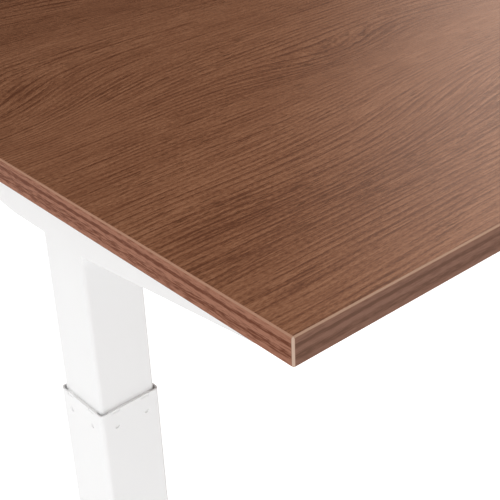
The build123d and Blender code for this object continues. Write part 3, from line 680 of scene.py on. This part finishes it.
def lathe(profile: Sequence[tuple[float, float]], segments: int, closed: bool = False) -> bmesh.types.BMesh:
    """Turns a profile of (radius, height) about the Z axis.

    Args:
        profile: The profile's corners; a radius of 0 closes to the axis.
        segments: The number of sides.
        closed: Whether the last corner joins the first, for a ring.

    Returns:
        The turned mesh, with its faces outwards.
    """
    mesh = bmesh.new()
    rings = []
    for radius, height in profile:
        if radius == 0:
            rings.append([mesh.verts.new((0, 0, height))] * segments)
            continue
        steps = [2 * math.pi * step / segments for step in range(segments)]
        rings.append([mesh.verts.new((radius * math.cos(a), radius * math.sin(a), height)) for a in steps])
    pairs = list(zip(rings, rings[1:] + ([rings[0]] if closed else [])))
    for lower, upper in pairs:
        for step in range(segments):
            after = (step + 1) % segments
            corners = dict.fromkeys((lower[step], lower[after], upper[after], upper[step]))
            mesh.faces.new(tuple(corners))
    bmesh.ops.recalc_face_normals(mesh, faces=mesh.faces)
    return mesh


def shaded(mesh: bmesh.types.BMesh, name: str, angle: float = 35.0) -> bpy.types.Mesh:
    """Turns a mesh under construction into a finished one, smooth but for its sharper edges."""
    made = bpy.data.meshes.new(name)
    mesh.to_mesh(made)
    mesh.free()
    made.shade_smooth()
    made.set_sharp_from_angle(angle=math.radians(angle))
    return made


class Drive(Enum):
    """The recess in a screw's head."""

    CROSS = "cross"
    HEXAGON = "hexagon"


@dataclass(frozen=True)
class Screw:
    """A screw along +Z, its head under the origin: a domed head with a recess, and a ridged shank."""

    head_radius: float
    head_height: float
    shank_radius: float
    shank_length: float
    drive: Drive
    pitch: float = 0.001
    segments: int = 24
    # The recess's reach, as a share of the head's radius, and a cross's half width likewise.
    hexagon_reach: float = 0.42
    cross_reach: float = 0.56
    cross_half: float = 0.13
    # The recess's depth, as a share of the head's height, and how much its floor narrows.
    recess_depth: float = 0.55
    recess_taper: float = 0.9
    # The head's dome, from its face down, as shares of its radius and height.
    dome: tuple[tuple[float, float], ...] = ((0.74, 1.0), (0.94, 0.72), (1.0, 0.38))
    # The ridges' start and length as shares of the shank's, and their roots as a share of its radius.
    lead_in: float = 0.06
    ridged: float = 0.9
    root_share: float = 0.84
    # The tip's radius as a share of the shank's, and its length in pitches.
    tip_share: float = 0.7
    tip_pitches: float = 0.3

    def outline(self) -> list[tuple[float, float]]:
        """The corners of the recess, in order."""
        if self.drive is Drive.HEXAGON:
            reach = self.head_radius * self.hexagon_reach
            return [(reach * math.cos(math.pi * k / 3), reach * math.sin(math.pi * k / 3)) for k in range(6)]
        long, short = self.head_radius * self.cross_reach, self.head_radius * self.cross_half
        quarter = [(long, -short), (long, short), (short, short)]
        turns = [(1, 0), (0, 1), (-1, 0), (0, -1)]
        return [(x * c - y * s, x * s + y * c) for c, s in turns for x, y in quarter]

    def build(self, name: str) -> bpy.types.Mesh:
        """Builds the screw's mesh.

        Args:
            name: The mesh's name.

        Returns:
            The mesh.
        """
        face, depth = -self.head_height, self.head_height * self.recess_depth
        profile = [(self.head_radius * out, face * up) for out, up in self.dome]
        profile += [(self.head_radius, 0.0), (self.shank_radius, 0.0)]
        for ridge in range(int(self.shank_length * self.ridged / self.pitch)):
            base = self.shank_length * self.lead_in + ridge * self.pitch
            profile += [(self.shank_radius * self.root_share, base), (self.shank_radius, base + self.pitch / 2)]
        tip_start = self.shank_length - self.pitch * self.tip_pitches
        profile += [(self.shank_radius * self.tip_share, tip_start), (0, self.shank_length)]
        mesh = lathe(profile, self.segments)
        rim_edges = [edge for edge in mesh.edges if edge.is_boundary]
        corners = [mesh.verts.new((x, y, face)) for x, y in self.outline()]
        lip = [mesh.edges.new((a, b)) for a, b in zip(corners, corners[1:] + corners[:1])]
        bmesh.ops.triangle_fill(mesh, edges=rim_edges + lip, use_beauty=True)
        inside = [made for made in mesh.faces if all(v in corners for v in made.verts)]
        bmesh.ops.delete(mesh, geom=inside, context="FACES_ONLY")
        taper = self.recess_taper
        floor = [mesh.verts.new((c.co.x * taper, c.co.y * taper, face + depth)) for c in corners]
        for k in range(len(corners)):
            mesh.faces.new((corners[k - 1], corners[k], floor[k], floor[k - 1]))
        mesh.faces.new(floor)
        bmesh.ops.recalc_face_normals(mesh, faces=mesh.faces)
        return shaded(mesh, name)


class Hardware:
    """The screws, with their recesses and threads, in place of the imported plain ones."""

    wood = Screw(0.005, 0.003, 0.00244, 0.0, Drive.CROSS, 0.0018)
    rail = Screw(0.00525, 0.0033, 0.003, 0.010, Drive.HEXAGON)
    gearbox = Screw(0.0045, 0.003, 0.0025, 0.009, Drive.HEXAGON)

    def __init__(self, finishes: Finishes) -> None:
        """Keeps the finish and the tree that places the copies."""
        self.finish = finishes["zinc_steel"]
        self.tree = scatter_tree()

    def drive_in(self, name: str, screw: Screw, found: Sequence[tuple[Vector, Vector]]) -> bpy.types.Object:
        """Copies a screw to every seat.

        Args:
            name: The piece's name.
            screw: The screw.
            found: Each seat's place and heading.

        Returns:
            The screws as one piece.
        """
        pattern = place_mesh(f"{name}_pattern", screw.build(f"{name}_pattern"))
        places = points_mesh([place for place, _ in found], [heading for _, heading in found])
        values = {"Pattern": pattern, "Finish": self.finish, "Spin": math.pi, "Seed": 11}
        piece = self.tree.grow(name, places, values)
        bpy.data.objects.remove(pattern)
        return piece

    def desktop_screws(self) -> None:
        """The pan-head screws up into the desktop, grouped by length."""
        head = self.wood.head_height
        groups: dict[float, list[tuple[Vector, Vector]]] = {}
        for solid in solids("desktop_screws"):
            seat = solid.seat(solid.low.z + head)
            groups.setdefault(round(solid.size.z - head, 4), []).append((seat, UNTURNED))
        for length, found in sorted(groups.items()):
            screw = replace(self.wood, shank_length=length)
            piece = self.drive_in(f"wood_screws_{round(length * 1000)}mm", screw, found)
            settle(piece, "top", "zinc_steel", "desktop_screws")

    def rail_screws(self) -> None:
        """The button-head screws through the rails' flanges and up through their sleeves."""
        head = self.rail.head_height
        found = []
        for solid in solids("rail_screws"):
            side = math.copysign(1.0, solid.centre.x)
            if solid.size.x > solid.size.y:
                edge = solid.low.x if side > 0 else solid.high.x
                place = Vector((edge + side * head, solid.centre.y, solid.centre.z))
                found.append((place, Vector((0, side * math.pi / 2, 0))))
            else:
                found.append((solid.seat(solid.low.z + head), UNTURNED))
        piece = self.drive_in("rail_button_screws", self.rail, found)
        settle(piece, "top", "zinc_steel", "rail_screws")

    def gearbox_screws(self) -> None:
        """The screws down through each gearbox's floor."""
        head, down = self.gearbox.head_height, Vector((math.pi, 0, 0))
        found = [(solid.seat(solid.high.z - head), down) for solid in solids("gearbox_screws")]
        piece = self.drive_in("gearbox_button_screws", self.gearbox, found)
        settle(piece, "top", "zinc_steel", "gearbox_screws")

    def build(self) -> None:
        """Builds every group of screws."""
        self.desktop_screws()
        self.rail_screws()
        self.gearbox_screws()


@dataclass
class LiftingScrew:
    """One leg's spindle: a two-start rolled thread under a plain journal."""

    side: str
    finishes: Finishes
    starts: int = 2
    lead: float = 0.006
    thread_depth: float = 0.0012
    journal_radius: float = 0.0075
    journal_length: float = 0.037
    steps_a_pitch: int = 5
    sides: int = 24
    journal_sides: int = 32
    # The flank's start and end, as shares of a pitch from the middle of the crest.
    flank: tuple[float, float] = (0.16, 0.34)

    def tree(self) -> GeometryTree:
        """A tree that presses a thread into a cylinder and adds the journal."""
        inputs = {"Finish": "Material", "Radius": "Float", "Length": "Float", "Middle": "Vector", "Rings": "Int"}
        inputs |= {"Journal": "Float", "Journal Length": "Float", "Journal Middle": "Vector"}
        made = GeometryTree(f"{self.side}_spindle_thread", inputs)
        feeds = {"Vertices": self.sides, "Radius": made.inputs["Radius"], "Depth": made.inputs["Length"]}
        bar = made.node("GeometryNodeMeshCylinder", {**feeds, "Side Segments": made.inputs["Rings"]})
        part = made.node("ShaderNodeSeparateXYZ", {"Vector": made.node("GeometryNodeInputPosition").outputs[0]})
        angle = made.maths("ARCTAN2", part.outputs["Y"], part.outputs["X"])
        climb = made.maths("MULTIPLY", part.outputs["Z"], self.starts / self.lead)
        turn = made.maths("SUBTRACT", climb, made.maths("MULTIPLY", angle, self.starts / (2 * math.pi)))
        wave = made.maths("PINGPONG", turn, 0.5)
        crest, root = self.flank
        flank = made.node("ShaderNodeMapRange", {"Value": wave, "From Min": crest, "From Max": root})
        cut = made.maths("MULTIPLY", flank.outputs[0], -self.thread_depth)
        share = made.maths("ADD", made.maths("DIVIDE", cut, made.inputs["Radius"]), 1.0)
        place = made.node("ShaderNodeCombineXYZ", {"Z": part.outputs["Z"]})
        for axis in ("X", "Y"):
            made.feed(place.inputs[axis], made.maths("MULTIPLY", part.outputs[axis], share))
        feeds = {"Geometry": bar.outputs["Mesh"], "Position": place.outputs[0]}
        threaded = made.node("GeometryNodeSetPosition", feeds)
        feeds = {"Geometry": threaded.outputs[0], "Translation": made.inputs["Middle"]}
        threaded = made.node("GeometryNodeTransform", feeds)
        feeds = {"Radius": made.inputs["Journal"], "Depth": made.inputs["Journal Length"]}
        journal = made.node("GeometryNodeMeshCylinder", {**feeds, "Vertices": self.journal_sides})
        feeds = {"Geometry": journal.outputs["Mesh"], "Translation": made.inputs["Journal Middle"]}
        journal = made.node("GeometryNodeTransform", feeds)
        joined = made.node("GeometryNodeJoinGeometry")
        for piece in (threaded, journal):
            made.feed(joined.inputs[0], piece.outputs[0])
        made.close(joined.outputs[0])
        return made

    def build(self) -> None:
        """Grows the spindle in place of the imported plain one."""
        low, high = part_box(f"{self.side}_spindle")
        middle = (Vector(low) + Vector(high)) / 2
        shoulder = high[2] - self.journal_length
        length = shoulder - low[2]
        values = {
            "Finish": self.finishes["gear_steel"],
            "Radius": (high[0] - low[0]) / 2,
            "Length": length,
            "Middle": (middle.x, middle.y, low[2] + length / 2),
            "Rings": int(length / (self.lead / self.starts) * self.steps_a_pitch),
            "Journal": self.journal_radius,
            "Journal Length": self.journal_length,
            "Journal Middle": (middle.x, middle.y, shoulder + self.journal_length / 2),
        }
        name = f"{self.side}_threaded_spindle"
        piece = self.tree().grow(name, points_mesh([UNTURNED], [UNTURNED]), values)
        piece.data.shade_smooth()
        piece.data.set_sharp_from_angle(angle=math.radians(30))
        settle(piece, f"{self.side}_spindle_set", "gear_steel", f"{self.side}_spindle")


@dataclass
class Bearings:
    """The spindles' ball bearings: two grooved rings and a row of balls in each."""

    finishes: Finishes
    tree: GeometryTree
    balls: int = 9
    ball_radius: float = 0.0032
    bore_radius: float = 0.0075
    edge: float = 0.0006
    # How far each ring's land stands from the balls' circle, as a share of a ball's radius.
    land_share: float = 0.55
    # Where the groove starts, as a share of the ring's half height.
    groove_share: float = 0.55
    sides: int = 48

    def build(self) -> None:
        """Builds both bearings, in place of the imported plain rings."""
        finish = self.finishes["bearing_steel"]
        joined = bmesh.new()
        places = []
        for solid in solids("spindle_bearings"):
            outer, half = solid.size.x / 2, solid.size.z / 2
            pitch = (outer + self.bore_radius) / 2
            for radius, way in ((outer, -1), (self.bore_radius, 1)):
                land, groove = pitch - way * self.ball_radius * self.land_share, pitch - way * self.ball_radius
                start = half * self.groove_share
                profile = [(radius, -half + self.edge), (radius + way * self.edge, -half), (land, -half)]
                profile += [(land, -start), (groove, 0), (land, start), (land, half)]
                profile += [(radius + way * self.edge, half), (radius, half - self.edge)]
                ring = shaded(lathe(profile, self.sides, closed=True), "ring")
                ring.transform(Matrix.Translation(solid.centre))
                joined.from_mesh(ring)
            for ball in range(self.balls):
                angle = 2 * math.pi * ball / self.balls
                places.append(solid.centre + Vector((pitch * math.cos(angle), pitch * math.sin(angle), 0)))
        rings_piece = place_mesh("bearing_rings", shaded(joined, "bearing_rings"))
        rings_piece.data.materials.append(finish)
        sphere = bmesh.new()
        bmesh.ops.create_icosphere(sphere, subdivisions=2, radius=self.ball_radius * 0.99)
        pattern = place_mesh("ball_pattern", shaded(sphere, "ball_pattern", 180))
        seeds = points_mesh(places, [UNTURNED] * len(places))
        values = {"Pattern": pattern, "Finish": finish, "Spin": 0.0, "Seed": 3}
        balls = self.tree.grow("bearing_balls", seeds, values)
        bpy.data.objects.remove(pattern)
        for piece in (rings_piece, balls):
            settle(piece, "top", "bearing_steel", "spindle_bearings")


@dataclass(frozen=True)
class Ribs:
    """A ring of like ribs on the points of a circle round Z or Y."""

    name: str
    count: int
    size: Triple
    bevel: float
    bevel_steps: int
    axis: Along

    def pattern(self) -> bpy.types.Object:
        """One rib, at the origin."""
        rib = bmesh.new()
        bmesh.ops.create_cube(rib, size=1.0)
        bmesh.ops.scale(rib, vec=self.size, verts=rib.verts)
        bmesh.ops.bevel(rib, geom=rib.edges, offset=self.bevel, segments=self.bevel_steps, affect="EDGES")
        return place_mesh(f"{self.name}_pattern", shaded(rib, f"{self.name}_pattern", 50))

    def seats(self, middle: Vector, radius: float) -> bpy.types.Mesh:
        """The ribs' places.

        Args:
            middle: The circle's middle.
            radius: The circle's radius.

        Returns:
            A point and a heading for each rib.
        """
        places, headings = [], []
        for step in range(self.count):
            angle = 2 * math.pi * step / self.count
            across, up = math.cos(angle), math.sin(angle)
            round_z = self.axis is Along.HEIGHT
            places.append(middle + Vector((across, up, 0) if round_z else (across, 0, up)) * radius)
            headings.append(Vector((0, 0, angle) if round_z else (0, -angle, 0)))
        return points_mesh(places, headings)


@dataclass
class FootPads:
    """Grip ribs round each leveller's pad."""

    finishes: Finishes
    tree: GeometryTree
    ribs: Ribs = Ribs("rib", 30, (0.0012, 0.0012, 0.0034), 0.0003, 1, Along.HEIGHT)
    rib_inset: float = 0.0004
    rib_middle: float = 0.0026

    def build(self) -> None:
        """Stands a ring of ribs on every pad's rim."""
        pattern = self.ribs.pattern()
        values = {"Pattern": pattern, "Finish": self.finishes["leveller_plastic"], "Spin": 0.0, "Seed": 1}
        for body in (f"{side}_{end}_leveller" for side in SIDES for end in ("front", "back")):
            low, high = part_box(body)
            middle = Vector(((low[0] + high[0]) / 2, (low[1] + high[1]) / 2, self.rib_middle))
            seats = self.ribs.seats(middle, (high[0] - low[0]) / 2 - self.rib_inset)
            settle(self.tree.grow(f"{body}_ribs", seats, values), body, "leveller_plastic")
        bpy.data.objects.remove(pattern)


@dataclass
class MotorTrim:
    """The pressed ribs on each motor's can and the screws in its rear cap."""

    finishes: Finishes
    hardware: Hardware
    ribs: Ribs = Ribs("can_rib", 16, (0.0010, 0.040, 0.0016), 0.0004, 2, Along.DEPTH)
    rib_circle: float = 0.0220
    rib_setback: float = 0.041
    screw: Screw = Screw(0.0028, 0.0016, 0.0014, 0.004, Drive.CROSS)
    screw_offset: float = 0.0125

    def build(self) -> None:
        """Builds the ribs and the cap screws of both motors."""
        pattern = self.ribs.pattern()
        values = {"Pattern": pattern, "Finish": self.finishes["motor_steel"], "Spin": 0.0, "Seed": 1}
        screws = []
        for side in SIDES:
            low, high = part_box(f"{side}_motor")
            rear = Vector(((low[0] + high[0]) / 2, high[1], (low[2] + high[2]) / 2))
            seats = self.ribs.seats(rear - Vector((0, self.rib_setback, 0)), self.rib_circle)
            settle(self.hardware.tree.grow(f"{side}_motor_ribs", seats, values), "top", "motor_steel")
            for way in (-1, 1):
                screws.append((rear + Vector((way * self.screw_offset, 0, 0)), Vector((math.pi / 2, 0, 0))))
        bpy.data.objects.remove(pattern)
        settle(self.hardware.drive_in("motor_cap_screws", self.screw, screws), "top", "zinc_steel")


@dataclass
class Studio:
    """A white cove with soft light: a pale floor, a bright surround, a warm window and one large lamp."""

    floor_half: float = 30.0
    floor_glow: float = 0.56
    floor_colour: Colour = (0.92, 0.92, 0.92)
    # Each light of the surround: its heading, and the cosines between which it rises.
    near_heading: Triple = (-0.94, -0.33, 0.08)
    near_limits: tuple[float, float] = (-0.32, 0.42)
    surround: float = 0.97
    far_side: float = 0.02
    window_heading: Triple = (0.88, 0.27, 0.42)
    window_limits: tuple[float, float] = (0.875, 0.972)
    window: float = 2.3
    window_tint: Colour = (1.0, 0.76, 0.64)
    window_spill: float = 0.16
    backdrop: Colour = (1.05, 1.05, 1.05)
    lamp_place: Triple = (0.05, -0.75, 2.3)
    lamp_target: Triple = (-0.25, -0.3, 0.9)
    lamp_size: float = 1.4
    lamp_watts: float = 14.0
    camera_lens: float = 84.33
    # The camera's turn, rise and roll in degrees, and its place from the desktop's front left corner.
    camera_angles: Triple = (-39.762, 30.695, -2.459)
    camera_place: Triple = (-0.4243, -0.4697, 0.4445)

    def build(self) -> None:
        """Builds the floor, the surround, the lamp and the camera."""
        self.floor()
        self.world()
        self.lamp()
        self.camera()

    def floor(self) -> None:
        """Lays the floor, lit a little from within so that it stays white."""
        half = self.floor_half
        mesh = bpy.data.meshes.new("studio_floor")
        corners = [(-half, -half, 0), (half, -half, 0), (half, half, 0), (-half, half, 0)]
        mesh.from_pydata(corners, [], [(0, 1, 2, 3)])
        floor = place_mesh("studio_floor", mesh)
        shader = Shader("studio_floor")
        seen = shader.node("ShaderNodeLightPath").outputs["Is Camera Ray"]
        glow = shader.maths("MULTIPLY_ADD", seen, 1.0 - self.floor_glow, self.floor_glow)
        shader.set(base_color=self.floor_colour, roughness=0.9)
        shader.set(emission_color=(1.0, 1.0, 1.0), emission_strength=glow)
        mesh.materials.append(shader.material)

    def world(self) -> None:
        """Surrounds the desk with white, softer on the far side, and pure white behind it."""
        world = bpy.data.worlds.new("studio")
        world.use_nodes = True
        bpy.context.scene.world = world
        tree = NodeTree(world.node_tree)
        where = tree.node("ShaderNodeTexCoord").outputs["Generated"]

        def towards(heading: Sequence[float]) -> Socket:
            """The cosine of the angle from a heading."""
            made = tree.node("ShaderNodeVectorMath", operation="DOT_PRODUCT")
            tree.feed(made.inputs[0], where)
            tree.feed(made.inputs[1], Vector(heading).normalized())
            return made.outputs["Value"]

        near = tree.between(towards(self.near_heading), *self.near_limits, self.far_side, self.surround)
        window = tree.between(towards(self.window_heading), *self.window_limits, 0.0, self.window)
        path = tree.node("ShaderNodeLightPath").outputs
        spill = tree.maths("MULTIPLY_ADD", path["Is Glossy Ray"], 1.0 - self.window_spill, self.window_spill)
        tinted = tree.node("ShaderNodeVectorMath", operation="MULTIPLY_ADD")
        for socket, value in zip(tinted.inputs, (tree.maths("MULTIPLY", window, spill), self.window_tint, near)):
            tree.feed(socket, value)
        colour = tree.mix(path["Is Camera Ray"], tinted.outputs[0], self.backdrop)
        tree.feed(world.node_tree.nodes["Background"].inputs["Color"], colour)

    def lamp(self) -> None:
        """Hangs a square lamp that points at its target."""
        data = bpy.data.lights.new("front_lamp", "AREA")
        data.size = self.lamp_size
        data.energy = self.lamp_watts
        lamp = bpy.data.objects.new("front_lamp", data)
        lamp.location = self.lamp_place
        heading = Vector(self.lamp_target) - Vector(self.lamp_place)
        lamp.rotation_euler = heading.to_track_quat("-Z", "Y").to_euler()
        bpy.context.collection.objects.link(lamp)

    def camera(self) -> None:
        """Stands the camera near the front left corner, looking down along the desktop."""
        data = bpy.data.cameras.new("camera")
        data.lens = self.camera_lens
        data.sensor_width = 36.0
        data.clip_end = 200.0
        camera = bpy.data.objects.new("camera", data)
        turn, rise, roll = map(math.radians, self.camera_angles)
        back = Vector((math.sin(turn) * math.cos(rise), -math.cos(turn) * math.cos(rise), math.sin(rise)))
        right = Vector((math.cos(turn), math.sin(turn), 0.0))
        up = back.cross(right)
        level = (right * math.cos(roll) + up * math.sin(roll), up * math.cos(roll) - right * math.sin(roll), back)
        corner = Vector((cad_low.x, cad_low.y, cad_high.z))
        place = Matrix.Translation(corner + Vector(self.camera_place))
        camera.matrix_world = place @ Matrix(level).transposed().to_4x4()
        bpy.context.collection.objects.link(camera)
        bpy.context.scene.camera = camera
        bpy.context.scene.view_settings.view_transform = "Standard"


def main() -> None:
    """Builds the studio, makes the finishes and dresses every piece of the desk."""
    Studio().build()
    finishes = Finishes()
    for part in frame["record"]["subparts"]:
        dress(part["node"], finishes[part["material_slot"]])
        log.info("%s in %s", part["node"], part["material_slot"])
    # The ends take the band's lit copy, with painted light in its colours.
    for side in SIDES:
        dress(f"edge_band_{side}", finishes.lit_short_band)
    hardware = Hardware(finishes)
    hardware.build()
    for side in SIDES:
        LiftingScrew(side, finishes).build()
    Bearings(finishes, hardware.tree).build()
    FootPads(finishes, hardware.tree).build()
    MotorTrim(finishes, hardware).build()


if __name__ == "__main__":
    logging.basicConfig(level=logging.INFO, format="%(name)s: %(message)s")
    main()
